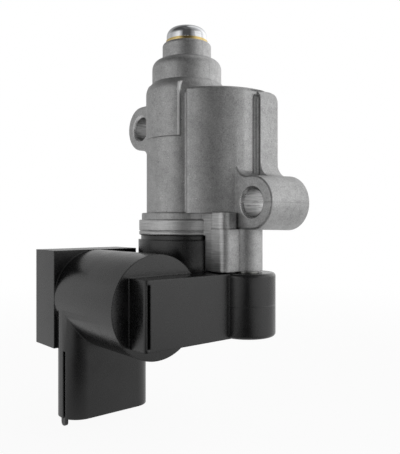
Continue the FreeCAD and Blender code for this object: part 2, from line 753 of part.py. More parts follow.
# Ball bearings, each from its lower face

def pitch_radius():
    return (SHAFT_R + BEARING_R) / 2


def ball_radius():
    return (BEARING_R - SHAFT_R) / 2 - RACE_WALL + 0.28


def track(z0):
    """Ring-shaped groove in which the balls run."""
    return Part.makeTorus(pitch_radius(), ball_radius() + BALL_GAP, vec(0, 0, z0 + BEARING_W / 2), Z)


def bearing_outer(z0):
    return tube(BEARING_R, BEARING_R - RACE_WALL, z0, z0 + BEARING_W).cut(track(z0))


def bearing_inner(z0):
    return tube(SHAFT_R + RACE_WALL, SHAFT_R, z0, z0 + BEARING_W).cut(track(z0))


def bearing_balls(z0):
    """Balls held in their cage ring."""
    middle = z0 + BEARING_W / 2
    half = ball_radius() * 0.45
    cage = tube(pitch_radius() + 0.35, pitch_radius() - 0.35, middle - half, middle + half)
    balls = []
    for i in range(BALL_COUNT):
        x, y = polar(pitch_radius(), 360.0 * (i + 0.5) / BALL_COUNT)
        balls.append(Part.makeSphere(ball_radius(), vec(x, y, middle)))
    return joined(cage, *balls)


# Lower bearing carrier with its seal and the two stops of the rotor

def stop_angles():
    """Where the two stop pins stand: just beyond the sector's edges at each end of its travel."""
    pin_half = math.degrees(math.asin(PIN_R / PIN_CIRCLE_R)) + PIN_GAP_ANGLE
    shut = SECTOR_REST_ANGLE + SECTOR_HALF_ANGLE + TURN_TO_SHUT + pin_half
    wide = SECTOR_REST_ANGLE - SECTOR_HALF_ANGLE - TURN_TO_OPEN - pin_half
    return shut, wide


def bearing_carrier():
    carrier = joined(
        cylinder(CARRIER_R, CARRIER_BOTTOM, CARRIER_TOP),
        cylinder(CARRIER_HUB_R, CARRIER_BOSS_BOTTOM, CHAMBER_FLOOR),
    )
    carrier = carrier.cut(cylinder(BEARING_R, CARRIER_BOSS_BOTTOM - 1, LOWER_BEARING_TOP))
    carrier = carrier.cut(cylinder(LIP_R, 0, CHAMBER_FLOOR + 1))
    carrier = carrier.cut(cylinder(SEAL_R, LOWER_BEARING_TOP + LIP_T, CHAMBER_FLOOR + 1))
    for angle in stop_angles():
        x, y = polar(PIN_CIRCLE_R, angle)
        carrier = carrier.cut(cylinder(PIN_R, CHAMBER_FLOOR - PIN_SUNK, CHAMBER_FLOOR + 1, x, y))
    return carrier


def shaft_seal():
    bottom = LOWER_BEARING_TOP + LIP_T
    return tube(SEAL_R, SHAFT_R + SEAL_GAP, bottom, min(bottom + SEAL_H, CHAMBER_FLOOR))


def stop_pin(angle):
    x, y = polar(PIN_CIRCLE_R, angle)
    return cylinder(PIN_R, CHAMBER_FLOOR - PIN_SUNK, CHAMBER_FLOOR + PIN_STANDS, x, y)


def preload_washer():
    top = SEAT_TOP
    return tube(BEARING_R - WASHER_GAP, WASHER_INNER_R, top - WASHER_T, top)


# Magnetic circuit

def core_yoke():
    """Straight stack of sheets through the middle of the coils."""
    return box(-LIMB_INNER_X, LIMB_INNER_X, COIL_Y - YOKE_W / 2, COIL_Y + YOKE_W / 2,
               COIL_Z - CORE_H / 2, COIL_Z + CORE_H / 2)


def pole_piece():
    """Stack of sheets that runs back from the yoke and curves round the rotor."""
    low = COIL_Z - CORE_H / 2
    high = COIL_Z + CORE_H / 2
    end_y = POST_Y - SLEEVE_R - POLE_SLEEVE_GAP
    limb_x1 = LIMB_INNER_X + LIMB_T
    pole_x1 = POST_X - SLEEVE_R - POLE_SLEEVE_GAP
    limb = box(LIMB_INNER_X, limb_x1, COIL_Y - YOKE_W / 2, end_y, low, high)
    shoe = box(POLE_R * 0.35, pole_x1, -POLE_HALF_W, POLE_HALF_W, low, high)
    return joined(limb, shoe).cut(cylinder(POLE_R, low - 1, high + 1))


def coil_disc(radius, x0, x1):
    return Part.makeCylinder(radius, x1 - x0, vec(x0, COIL_Y, COIL_Z), X)


def coil_end():
    """Outer face of the bobbin's end flanges."""
    return LIMB_INNER_X - COIL_END_GAP


def terminal_block():
    half_l = TERMINAL_PITCH + TERMINAL_W
    half_w = TERMINAL_T / 2 + TERMINAL_COVER
    return box(BOBBIN_FLANGE_T - coil_end(), PLUG_X + half_w, COIL_Y - half_l, COIL_Y + half_l,
               COIL_Z - BOBBIN_FLANGE_R - BOBBIN_FOOT_DROP,
               COIL_Z - BOBBIN_FLANGE_R + BOBBIN_FOOT_RISE)


def coil_bobbin():
    """Bobbin with two winding spaces and a foot that holds the terminals."""
    end = coil_end()
    half = BOBBIN_FLANGE_T / 2
    bobbin = joined(
        coil_disc(COIL_BED_R, -end, end),
        coil_disc(BOBBIN_FLANGE_R, -end, -end + BOBBIN_FLANGE_T),
        coil_disc(BOBBIN_FLANGE_R, -half, half),
        coil_disc(BOBBIN_FLANGE_R, end - BOBBIN_FLANGE_T, end),
        terminal_block(),
    )
    bobbin = bobbin.cut(core_yoke())
    for index in (-1, 0, 1):
        bobbin = bobbin.cut(terminal(index))
    return bobbin.cut(coil(1)).cut(coil(-1))


def coil(side):
    """One winding, as the ring of wire that it forms."""
    near = BOBBIN_FLANGE_T / 2
    far = coil_end() - BOBBIN_FLANGE_T
    x0, x1 = (near, far) if side > 0 else (-far, -near)
    return coil_disc(COIL_R, x0, x1).cut(coil_disc(COIL_BED_R, x0 - 1, x1 + 1))


def terminal(index):
    """Flat blade from the bobbin's foot down into the plug."""
    y = COIL_Y + index * TERMINAL_PITCH
    top = COIL_Z - BOBBIN_FLANGE_R - TERMINAL_TOP_GAP
    half = TERMINAL_T / 2
    tip = PLUG_BOTTOM + TERMINAL_TIP_GAP
    blade = box(PLUG_X - half, PLUG_X + half, y - TERMINAL_W / 2, y + TERMINAL_W / 2, tip, top)
    edges = [e for e in blade.Edges if e.BoundBox.ZMax < tip + 0.01 and e.BoundBox.XLength < 0.01]
    return blade.makeChamfer(TERMINAL_T * 0.3, edges)


# Motor housing

def arm():
    """Side arm over one limb of the core, with the screw lobe at its end."""
    bar = plan([
        (COIL_HALF_L - ARM_LAP, ARM_FRONT_Y, 0),
        (ARM_OUTER_X, ARM_FRONT_Y, ARM_ROUND),
        (ARM_OUTER_X, POST_Y, 0),
        (COIL_HALF_L - ARM_LAP, POST_Y, 0),
    ], ARM_BOTTOM, ARM_TOP)
    lobe = cylinder(LOBE_R, ARM_BOTTOM, ARM_TOP, POST_X, POST_Y)
    lobe = lobe.makeFillet(ARM_ROUND, [e for e in lobe.Edges if e.BoundBox.ZLength < 0.01])
    return bar, lobe


def arm_slot():
    """Narrow upright slot beside the front corner of the arm."""
    y0 = ARM_FRONT_Y + ARM_SLOT_LIP
    return box(ARM_OUTER_X - ARM_SLOT_DEPTH, ARM_OUTER_X + 1, y0, y0 + ARM_SLOT_W,
               ARM_BOTTOM + ARM_SLOT_BASE, ARM_TOP - ARM_SLOT_HEAD)


def end_block():
    """Square block on the plug side of the coils."""
    half = COIL_HOUSING_R + BLOCK_PROUD
    block = box(-BLOCK_OUTER_X, -COIL_HALF_L, COIL_Y - half, COIL_Y + half,
                COIL_Z - half, COIL_Z + half)
    outer = [e for e in block.Edges if e.BoundBox.XMax < -BLOCK_OUTER_X + 0.01]
    return block.makeFillet(BLOCK_ROUND, outer)


def plug_shell():
    """Outside of the connector shell."""
    w, l = PLUG_HALF_W, PLUG_HALF_L
    outline = rectangle(PLUG_X - w, PLUG_X + w, COIL_Y - l, COIL_Y + l, w - PLUG_END_FLAT)
    shell = plan(outline, PLUG_BOTTOM, COIL_Z)
    tongue_y = COIL_Y - l + PLUG_WALL / 2
    tongue = box(PLUG_X - PLUG_KEY_W / 2, PLUG_X + PLUG_KEY_W / 2, tongue_y, tongue_y + PLUG_WALL,
                 PLUG_BOTTOM - PLUG_TONGUE_L, PLUG_BOTTOM + PLUG_TONGUE_ROOT)
    ends = [e for e in tongue.Edges if e.BoundBox.ZMax < PLUG_BOTTOM - PLUG_TONGUE_L + 0.01
            and e.BoundBox.XLength < 0.01]
    return joined(shell, tongue.makeFillet(PLUG_KEY_W * 0.4, ends))


def plug_socket():
    """Inside of the connector shell, with a keyway beside the tongue."""
    w, l = PLUG_HALF_W - PLUG_WALL, PLUG_HALF_L - PLUG_WALL
    outline = rectangle(PLUG_X - w, PLUG_X + w, COIL_Y - l, COIL_Y + l, w - PLUG_END_FLAT)
    return plan(outline, PLUG_BOTTOM - PLUG_OVERSHOOT, PLUG_FLOOR)


def plug_keyway():
    """Outer groove that guides the mating plug on."""
    y = COIL_Y - PLUG_HALF_L
    x = PLUG_X + PLUG_KEY_W / 2
    return box(x, x + PLUG_KEYWAY_W, y - PLUG_WALL, y + PLUG_WALL * 0.75,
               PLUG_BOTTOM - PLUG_OVERSHOOT, COIL_Z - COIL_HOUSING_R)


def motor_housing():
    """Moulded housing: rotor well, coil barrel, block, arms and connector in one piece."""
    bar, lobe = arm()
    bridge_x = COIL_HALF_L - BRIDGE_INSET
    bridge = box(-bridge_x, bridge_x, -COLLAR_R * 0.8, POST_Y, ARM_BOTTOM, ARM_TOP)
    housing = joined(
        coil_disc(COIL_HOUSING_R, -COIL_HALF_L - ARM_LAP, COIL_HALF_L),
        end_block(),
        cylinder(COLLAR_R, HOUSING_BOTTOM, COLLAR_TOP),
        cylinder(COLLAR_NECK_R, COLLAR_TOP - 0.1, 0),
        cylinder(SPIGOT_R, -0.1, SPIGOT_H),
        bridge,
        bar,
        lobe,
        mirrored(bar),
        mirrored(lobe),
        plug_shell(),
    )
    cuts = [
        cylinder(WELL_R, WELL_FLOOR, SPIGOT_H + 1),
        tube(SPIGOT_R + 1, SPIGOT_BORE_R - 2 * ORING_R, ORING_R * 0.9, ORING_R * 3.1),
        core_yoke(),
        pole_piece(),
        mirrored(pole_piece()),
        coil_bobbin(),
        coil(1),
        coil(-1),
        plug_socket(),
        plug_keyway(),
        arm_slot(),
    ]
    for index in (-1, 0, 1):
        cuts.append(terminal(index))
    for x in POSTS_X:
        cuts.append(cylinder(SLEEVE_R, ARM_BOTTOM - SLEEVE_R, ARM_TOP + SLEEVE_R, x, POST_Y))
        cuts.append(cylinder(SCREW_HEAD_R + HEAD_RECESS_GAP, ARM_BOTTOM - SLEEVE_R, SLEEVE_BOTTOM,
                             x, POST_Y))
    for cut in cuts:
        housing = housing.cut(cut)
    return housing


def housing_o_ring():
    return Part.makeTorus(SPIGOT_BORE_R - ORING_R, ORING_R, vec(0, 0, 2 * ORING_R), Z)


def screw_sleeve(x):
    return tube(SLEEVE_R, SLEEVE_BORE_R, SLEEVE_BOTTOM, SLEEVE_TOP, x, POST_Y)


def housing_screw(x):
    """Screw put in from below, with a six-sided socket in its sunk head."""
    head = cylinder(SCREW_HEAD_R, SLEEVE_BOTTOM - SCREW_HEAD_H, SLEEVE_BOTTOM, x, POST_Y)
    rim = [e for e in head.Edges if e.BoundBox.ZMax < SLEEVE_BOTTOM - SCREW_HEAD_H + 0.01]
    head = head.makeFillet(0.5, rim)
    shank = cylinder(SCREW_R, SLEEVE_BOTTOM - 0.1, LUG_BOTTOM + SCREW_IN_POST, x, POST_Y)
    low = SLEEVE_BOTTOM - SCREW_HEAD_H
    sides = []
    for i in range(6):
        dx, dy = polar(SOCKET_R, 60 * i)
        sides.append((x + dx, POST_Y + dy, 0))
    socket = plan(sides, low - 1, low + SOCKET_DEPTH)
    return joined(head, shank).cut(socket)


def parts():
    """Every piece by its node name."""
    shut_angle, open_angle = stop_angles()
    upper, lower = CHAMBER_TOP, CARRIER_BOSS_BOTTOM
    return {
        "valve_body": valve_body(),
        "end_cap": end_cap(),
        "brass_ring": brass_ring(),
        "rotor_shaft": rotor_shaft(),
        "shaft_clip": shaft_clip(),
        "rotary_valve": rotary_valve(),
        "magnet_hub": magnet_hub(),
        "rotor_magnet": rotor_magnet(),
        "upper_bearing_outer": bearing_outer(upper),
        "upper_bearing_inner": bearing_inner(upper),
        "upper_bearing_balls": bearing_balls(upper),
        "lower_bearing_outer": bearing_outer(lower),
        "lower_bearing_inner": bearing_inner(lower),
        "lower_bearing_balls": bearing_balls(lower),
        "preload_washer": preload_washer(),
        "bearing_carrier": bearing_carrier(),
        "shaft_seal": shaft_seal(),
        "stop_pin_shut": stop_pin(shut_angle),
        "stop_pin_open": stop_pin(open_angle),
        "motor_housing": motor_housing(),
        "housing_o_ring": housing_o_ring(),
        "core_yoke": core_yoke(),
        "pole_piece_right": pole_piece(),
        "pole_piece_left": mirrored(pole_piece()),
        "coil_bobbin": coil_bobbin(),
        "opening_coil": coil(1),
        "closing_coil": coil(-1),
        "terminal_front": terminal(-1),
        "terminal_middle": terminal(0),
        "terminal_rear": terminal(1),
        "screw_sleeve_right": screw_sleeve(POST_X),
        "screw_sleeve_left": screw_sleeve(-POST_X),
        "housing_screw_right": housing_screw(POST_X),
        "housing_screw_left": housing_screw(-POST_X),
    }


os.makedirs("parts", exist_ok=True)
for name, shape in parts().items():
    shape.translated(MOUNT_CENTRE * -1).exportStep("parts/" + name + ".step")
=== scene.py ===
# %% [markdown]
# # An idle air control valve
# This valve lets a little air past a car's closed throttle. A die-cast aluminium body holds a
# rotary air valve, and a black moulded housing under it holds the motor that turns the valve.
# The pieces come from CAD at their real size. Here they get their finishes, their small
# moulding and casting marks, a studio and a camera. Everything is in metres.

# %% Load the frame
import json
import math

import bmesh
import bpy
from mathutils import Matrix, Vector


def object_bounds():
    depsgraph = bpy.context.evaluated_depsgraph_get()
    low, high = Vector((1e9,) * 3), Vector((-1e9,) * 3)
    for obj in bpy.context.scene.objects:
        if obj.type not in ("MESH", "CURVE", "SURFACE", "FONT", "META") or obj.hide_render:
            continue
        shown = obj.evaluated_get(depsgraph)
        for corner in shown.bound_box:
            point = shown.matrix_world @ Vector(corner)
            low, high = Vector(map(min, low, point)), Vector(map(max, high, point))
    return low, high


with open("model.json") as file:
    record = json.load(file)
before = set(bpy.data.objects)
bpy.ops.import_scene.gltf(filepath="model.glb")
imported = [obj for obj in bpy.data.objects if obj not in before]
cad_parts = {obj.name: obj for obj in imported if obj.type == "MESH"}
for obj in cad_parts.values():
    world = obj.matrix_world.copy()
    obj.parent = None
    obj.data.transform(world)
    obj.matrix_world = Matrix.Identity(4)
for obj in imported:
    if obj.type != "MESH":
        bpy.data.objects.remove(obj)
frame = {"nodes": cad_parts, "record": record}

NODES = frame["nodes"]
CAD_LOW, CAD_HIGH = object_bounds()
MM = 0.001
ROTOR_BASE = Vector(frame["record"]["behaviour"]["joints"][0]["pos_m"])
print("pieces from CAD:", len(NODES))

# %% [markdown]
# ## Helpers for materials
# Colours are written as sRGB hex values, as a paint program shows them, but shaders count in
# linear light, so one function turns one into the other. A second function adds a shader node
# and sets or links its inputs. With it a material reads as a short list of nodes. The others
# start an empty material, turn a real width into a pattern's scale, and print what was made.

# %% Colour and node helpers
def linear(hex_colour):
    """Linear RGBA from an sRGB hex colour such as #8f8f8f."""
    channels = []
    for start in (1, 3, 5):
        value = int(hex_colour[start:start + 2], 16) / 255
        channels.append(value / 12.92 if value <= 0.04045 else ((value + 0.055) / 1.055) ** 2.4)
    return (*channels, 1.0)


def add(tree, kind, inputs=None, **settings):
    """One shader node with its settings. Inputs are numbers, colours or sockets to link."""
    made = tree.nodes.new(kind)
    for name, value in settings.items():
        setattr(made, name, value)
    for key, value in (inputs or {}).items():
        if isinstance(value, bpy.types.NodeSocket):
            tree.links.new(value, made.inputs[key])
        else:
            made.inputs[key].default_value = value
    return made


def new_material(name):
    """Empty node material, its tree and its surface shader."""
    material = bpy.data.materials.new(name)
    material.use_nodes = True
    tree = material.node_tree
    tree.nodes.clear()
    shader = add(tree, "ShaderNodeBsdfPrincipled")
    add(tree, "ShaderNodeOutputMaterial", {"Surface": shader.outputs["BSDF"]})
    return material, tree, shader


def per_mm(size):
    """Pattern scale whose features are about this many millimetres wide."""
    return 1 / (size * MM)


def made(material):
    """Prints the size of a finished material, and hands it on."""
    print("material:", material.name, "with", len(material.node_tree.nodes), "nodes")
    return material


print("#8f8f8f in linear light:", round(linear("#8f8f8f")[0], 3))

# %% [markdown]
# ## Where a mark sits
# Some marks belong to one place on a piece: the wall of a drilled hole, a band that was turned,
# the line where the halves of a die met. They could be painted on a picture that is wrapped
# round the piece, but that needs an unwrapped mesh. A mask that is 1 there and 0 elsewhere puts
# them on as well. Each one is worked out from the point's place, counted in millimetres from
# the foot of the rotor axis, so it stays on the piece when the piece or the camera moves. In
# those places a pattern's scale is one over its real size in millimetres.

# %% Place masks
FAR = 99
SOFT_STEP = 0.05


def rotor_place(tree):
    """Place on the piece in millimetres, from where the rotor axis leaves the casting."""
    place = add(tree, "ShaderNodeTexCoord").outputs["Object"]
    moved = add(tree, "ShaderNodeVectorMath", {0: place, 1: ROTOR_BASE}, operation="SUBTRACT")
    scaled = add(tree, "ShaderNodeVectorMath", {0: moved.outputs[0], "Scale": 1 / MM},
                 operation="SCALE")
    return scaled.outputs[0]


def every(tree, *masks):
    """Where all of the masks hold."""
    whole = masks[0]
    for mask in masks[1:]:
        whole = add(tree, "ShaderNodeMath", {0: whole, 1: mask}, operation="MULTIPLY").outputs[0]
    return whole


def either(tree, *masks):
    """Where at least one of the masks holds."""
    whole = masks[0]
    for mask in masks[1:]:
        whole = add(tree, "ShaderNodeMath", {0: whole, 1: mask}, operation="MAXIMUM").outputs[0]
    return whole


def between(tree, value, low, high, soft=SOFT_STEP):
    """1 where the value lies between two limits, with a soft step at each."""
    rising = add(tree, "ShaderNodeMapRange",
                 {"Value": value, "From Min": low - soft, "From Max": low + soft})
    falling = add(tree, "ShaderNodeMapRange",
                  {"Value": value, "From Min": high + soft, "From Max": high - soft})
    return every(tree, rising.outputs[0], falling.outputs[0])


def off_axis(tree, place, point, across):
    """Distance in millimetres from a straight axis through a point."""
    moved = add(tree, "ShaderNodeVectorMath", {0: place, 1: point}, operation="SUBTRACT")
    flat = add(tree, "ShaderNodeVectorMath", {0: moved.outputs[0], 1: across},
               operation="MULTIPLY")
    return add(tree, "ShaderNodeVectorMath", {0: flat.outputs[0]},
               operation="LENGTH").outputs["Value"]


print("marks are placed from", [round(v / MM, 2) for v in ROTOR_BASE], "mm")

# %% [markdown]
# ## Die-cast aluminium: the blasted skin
# The body is a pressure die casting in an aluminium-silicon alloy, shot-blasted after it is
# trimmed. Blasting leaves a dull, even grey skin with fine grain, bright specks and small dark
# pits, and the metal's flow in the die leaves broad, faint clouds. It could be a plain rough
# metal, but then it looks like painted plastic. So noises of different real sizes, clouds of
# 7 mm, mottling of 1.6 mm and grain of 0.3 mm, change its colour, its roughness and its bumps.
# The real grain is nearer 0.1 mm, and it is drawn coarser so that it shows. A noise's values
# crowd round 0.5, so two limits on either side of that stretch them to the full contrast.

# %% Blasted skin
ALLOY_DARK = "#8f8f8f"
ALLOY_LIGHT = "#c0c0c0"
ALLOY_SPECK = "#e6e6e6"
ALLOY_PIT = "#585858"
CLOUD_MM = 7.0
MOTTLE_MM = 1.6
GRAIN_MM = 0.3
MOTTLE_SHARE = 0.55
GRAIN_SHARE = 0.6
CRISP = (0.38, 0.62)
SPECK_MM = 0.8
SPECK_REACH = 0.12
SPECK_ABOVE = 0.76
PIT_MM = 1.1
PIT_REACH = 0.10
PIT_ABOVE = 0.80
SPOT_SOFT = 0.04


def spots(tree, place, size_mm, reach, above):
    """Small scattered spots: the middles of some cells of a pattern of a real size."""
    cells = add(tree, "ShaderNodeTexVoronoi", {"Vector": place, "Scale": 1 / size_mm})
    return every(tree, between(tree, cells.outputs["Distance"], -FAR, reach, SPOT_SOFT),
                 between(tree, cells.outputs["Color"], above, FAR))


def blasted_skin(tree, place):
    """Colour of the blasted skin, with its mottling and its grain for the bumps."""
    cloud = add(tree, "ShaderNodeTexNoise",
                {"Vector": place, "Scale": 1 / CLOUD_MM, "Detail": 3.0, "Roughness": 0.55})
    mottle = add(tree, "ShaderNodeTexNoise",
                 {"Vector": place, "Scale": 1 / MOTTLE_MM, "Detail": 4.0, "Roughness": 0.65})
    grain = add(tree, "ShaderNodeTexNoise",
                {"Vector": place, "Scale": 1 / GRAIN_MM, "Detail": 3.0, "Roughness": 0.7})
    broad = add(tree, "ShaderNodeMix",
                {0: MOTTLE_SHARE, 2: cloud.outputs[0], 3: mottle.outputs[0]}, data_type="FLOAT")
    both = add(tree, "ShaderNodeMix",
               {0: GRAIN_SHARE, 2: broad.outputs[0], 3: grain.outputs[0]}, data_type="FLOAT")
    spread = add(tree, "ShaderNodeMapRange",
                 {"Value": both.outputs[0], "From Min": CRISP[0], "From Max": CRISP[1]})
    skin = add(tree, "ShaderNodeMix",
               {0: spread.outputs[0], 6: linear(ALLOY_DARK), 7: linear(ALLOY_LIGHT)},
               data_type="RGBA")
    specks = spots(tree, place, SPECK_MM, SPECK_REACH, SPECK_ABOVE)
    specked = add(tree, "ShaderNodeMix",
                  {0: specks, 6: skin.outputs[2], 7: linear(ALLOY_SPECK)}, data_type="RGBA")
    pits = spots(tree, place, PIT_MM, PIT_REACH, PIT_ABOVE)
    pitted = add(tree, "ShaderNodeMix",
                 {0: pits, 6: specked.outputs[2], 7: linear(ALLOY_PIT)}, data_type="RGBA")
    return pitted.outputs[2], mottle.outputs[0], grain.outputs[0]


print("blasted skin: noises of", CLOUD_MM, MOTTLE_MM, "and", GRAIN_MM, "mm")

# %% [markdown]
# ## Die-cast aluminium: the cut places
# The screw holes are drilled, the ring is turned, and the mounting face and the screw lug are
# milled. There the metal is bare and brighter, with the tool's lines in it: along the holes,
# and level everywhere else. Those faces could have a second material of their own, but masks by
# place let the skin fade into the cut. The drilled walls are wholly bare, and the other cuts
# are dulled by handling, so they count for less than half. The real lines are nearer 0.1 mm
# apart, and they are drawn at 0.22 mm so that they show.

# %% Cut places
CUT_DARK = "#acacac"
CUT_LIGHT = "#e2e2e2"
LINE_MM = 0.22
LINE_SQUEEZE = 0.04
HOLE_AXES = ((24.3, 0, 8.1), (-22.7, 0, 31.4))
HOLE_REACH = 3.98
RING_BAND = (11.9, 12.95)
RING_HEIGHTS = (-1, 4.05)
LUG_FROM_X = 10.0
LUG_FRONT_Y = -3.9
LUG_HIGH_Z = 5.8
FLANGE_FACE_Y = 13.2
DULLED = 0.45


def cut_places(tree, place):
    """Mask of the drilled holes, and mask of everything that was cut."""
    x, y, z = add(tree, "ShaderNodeSeparateXYZ", {0: place}).outputs
    radius = off_axis(tree, place, (0, 0, 0), (1, 1, 0))
    holes = either(tree, *[between(tree, off_axis(tree, place, axis, (1, 0, 1)),
                                   -FAR, HOLE_REACH) for axis in HOLE_AXES])
    ring = every(tree, between(tree, radius, *RING_BAND), between(tree, z, *RING_HEIGHTS))
    lug = every(tree, between(tree, x, LUG_FROM_X, FAR), between(tree, y, -FAR, LUG_FRONT_Y),
                between(tree, z, -FAR, LUG_HIGH_Z))
    face = between(tree, y, FLANGE_FACE_Y, FAR)
    dulled = every(tree, either(tree, ring, lug, face), DULLED)
    return holes, either(tree, holes, dulled)


def tool_lines(tree, place, holes):
    """Lines along the drilled holes, and level lines elsewhere."""
    lines = []
    for squeeze in ((LINE_SQUEEZE, LINE_SQUEEZE, 1.0), (1.0, LINE_SQUEEZE, 1.0)):
        squeezed = add(tree, "ShaderNodeMapping", {"Vector": place, "Scale": squeeze})
        lines.append(add(tree, "ShaderNodeTexNoise",
                         {"Vector": squeezed.outputs[0], "Scale": 1 / LINE_MM, "Detail": 3.0}))
    level, drilled = lines
    return add(tree, "ShaderNodeMix", {0: holes, 2: level.outputs[0], 3: drilled.outputs[0]},
               data_type="FLOAT").outputs[0]


print("drilled holes:", len(HOLE_AXES), "with lines of", LINE_MM, "mm")

# %% [markdown]
# ## Die-cast aluminium: the die's seam and a painted highlight
# The die's halves met on the plane through the rotor axis, and left a fine raised line on the
# necks and on the round of the lower ear. It could be modelled, but it is under a tenth of a
# millimetre high, so a bump is enough. The casting also has a raised pad, and the bright line
# on its upright edge is a painted highlight. That edge is found by its turn round the rotor axis.

# %% Die seam and painted edge highlight
SEAM_HALF = 0.07
NECK_FROM_Z = 37.2
EAR_SEAM_Z = 8.1
EAR_SEAM_X = 28.6
PAD_EDGE = (math.radians(-50.6), math.radians(-47.5))
PAD_EDGE_SOFT = 0.004
PAD_HEIGHTS = (25.3, 39.6)
PAD_FROM_R = 10.95


def die_seam(tree, place):
    """Mask of the fine lines where the halves of the die met."""
    x, y, z = add(tree, "ShaderNodeSeparateXYZ", {0: place}).outputs
    necks = every(tree, between(tree, y, -SEAM_HALF, SEAM_HALF), between(tree, x, 0, FAR),
                  between(tree, z, NECK_FROM_Z, FAR))
    ear = every(tree, between(tree, z, EAR_SEAM_Z - SEAM_HALF, EAR_SEAM_Z + SEAM_HALF),
                between(tree, x, EAR_SEAM_X, FAR))
    return either(tree, necks, ear)


def painted_pad_highlight(tree, place):
    """Mask of the painted highlight on the upright edge of the raised pad."""
    x, y, z = add(tree, "ShaderNodeSeparateXYZ", {0: place}).outputs
    radius = off_axis(tree, place, (0, 0, 0), (1, 1, 0))
    turn = add(tree, "ShaderNodeMath", {0: y, 1: x}, operation="ARCTAN2").outputs[0]
    return every(tree, between(tree, turn, *PAD_EDGE, PAD_EDGE_SOFT),
                 between(tree, radius, PAD_FROM_R, FAR),
                 between(tree, z, *PAD_HEIGHTS), between(tree, y, -FAR, 0))


print("die seam, mm wide:", 2 * SEAM_HALF)

# %% [markdown]
# ## Die-cast aluminium: the whole casting
# The skin, the cut places, the marks and the painted highlight come together in one material.
# The pad's edge gets a painted highlight: a near-white colour that is mostly unpolished, so
# that it scatters light from every side, where bare metal would only mirror the dark side of
# the room. The Bevel node turns the normals at sharp edges a little, so that they catch the
# light as worn edges do, and the bumps of the seam, the grain and the mottling are laid over it.
# Each bump has a height in millimetres and a strength.

# %% Casting
# Painted highlight on the pad's edge: its near-white colour and its low metallic value
PAINTED_EDGE_HIGHLIGHT = "#f0f0f0"
EDGE_HIGHLIGHT_METALLIC = 0.2
SKIN_ROUGH = (0.40, 0.56)
SKIN_GRAIN = (0.3, 0.7)
CUT_ROUGH = (0.26, 0.38)
CAST_EDGE_MM = 0.35
SEAM_BUMP = (0.06, 0.8)
GRAIN_BUMP = (0.05, 0.6)
MOTTLE_BUMP = (0.06, 0.6)


def bumps(tree, edge_mm, layers):
    """Normals turned a little at sharp edges, with layers of bumps over them."""
    normal = add(tree, "ShaderNodeBevel", {"Radius": edge_mm * MM})
    for height, (height_mm, strength) in layers:
        normal = add(tree, "ShaderNodeBump",
                     {"Height": height, "Distance": height_mm * MM, "Strength": strength,
                      "Normal": normal.outputs[0]})
    return normal.outputs[0]


def cast_aluminium():
    """Blasted casting with bare cut places, die seams and a painted highlight on the pad's edge.
    """
    material, tree, shader = new_material("die_cast_aluminium")
    place = rotor_place(tree)
    skin, mottle, grain = blasted_skin(tree, place)
    holes, cut = cut_places(tree, place)
    lines = tool_lines(tree, place, holes)
    # edge is the mask of the painted highlight on the upright edge of the pad
    edge = painted_pad_highlight(tree, place)

    sharp = add(tree, "ShaderNodeMapRange",
                {"Value": lines, "From Min": CRISP[0], "From Max": CRISP[1]})
    bare = add(tree, "ShaderNodeMix",
               {0: sharp.outputs[0], 6: linear(CUT_DARK), 7: linear(CUT_LIGHT)}, data_type="RGBA")
    mixed = add(tree, "ShaderNodeMix", {0: cut, 6: skin, 7: bare.outputs[2]}, data_type="RGBA")
    # Painted highlight: the pad's edge turns near white and mostly unpolished
    colour = add(tree, "ShaderNodeMix",
                 {0: edge, 6: mixed.outputs[2], 7: linear(PAINTED_EDGE_HIGHLIGHT)}, data_type="RGBA")
    metal = add(tree, "ShaderNodeMapRange",
                {"Value": edge, "To Min": 1.0, "To Max": EDGE_HIGHLIGHT_METALLIC})
    dull = add(tree, "ShaderNodeMapRange",
               {"Value": grain, "From Min": SKIN_GRAIN[0], "From Max": SKIN_GRAIN[1],
                "To Min": SKIN_ROUGH[0], "To Max": SKIN_ROUGH[1]})
    smooth = add(tree, "ShaderNodeMapRange",
                 {"Value": sharp.outputs[0], "To Min": CUT_ROUGH[0], "To Max": CUT_ROUGH[1]})
    rough = add(tree, "ShaderNodeMix", {0: cut, 2: dull.outputs[0], 3: smooth.outputs[0]},
                data_type="FLOAT")
    texture = add(tree, "ShaderNodeMix", {0: cut, 2: grain, 3: lines}, data_type="FLOAT")
    surface = bumps(tree, CAST_EDGE_MM, ((die_seam(tree, place), SEAM_BUMP),
                                         (texture.outputs[0], GRAIN_BUMP),
                                         (mottle, MOTTLE_BUMP)))
    tree.links.new(colour.outputs[2], shader.inputs["Base Color"])
    tree.links.new(rough.outputs[0], shader.inputs["Roughness"])
    tree.links.new(surface, shader.inputs["Normal"])
    tree.links.new(metal.outputs[0], shader.inputs["Metallic"])
    return made(material)


CASTING = cast_aluminium()

# %% [markdown]
# ## Glass-filled black plastic
# The motor housing is moulded in glass-filled nylon round the coils and terminals. Its colour is
# a deep neutral black, and what one sees is mostly the sheen of its satin skin. It could be one
# even black, but glass fibres near the skin make the sheen a little uneven. So the roughness
# and a very low bump follow noises of 5 mm and 0.5 mm, and the black is lightened slightly in
# the same clouds. Real fibres are far finer, and their noise is drawn coarser so that it shows.
# A fine line runs round the screw lobe, where the mould's halves met.

# %% Black plastic
BLACK_DEEP = "#070708"
BLACK_WORN = "#131314"
BLACK_IOR = 1.6
BLACK_ROUGH = (0.20, 0.32)
SHEEN_CLOUD_MM = 5.0
SHEEN_RANGE = (0.35, 0.68)
FIBRE_MM = 0.5
FIBRE_SHARE = 0.35
FIBRE_BUMP = (0.03, 0.5)
MILD = (0.35, 0.65)
MOULD_EDGE_MM = 0.45
MOULD_SEAM_BUMP = (0.05, 0.8)
LOBE_SEAM_Z = -16.85
LOBE_FROM_X = 12.0
LOBE_FROM_Y = -4.0


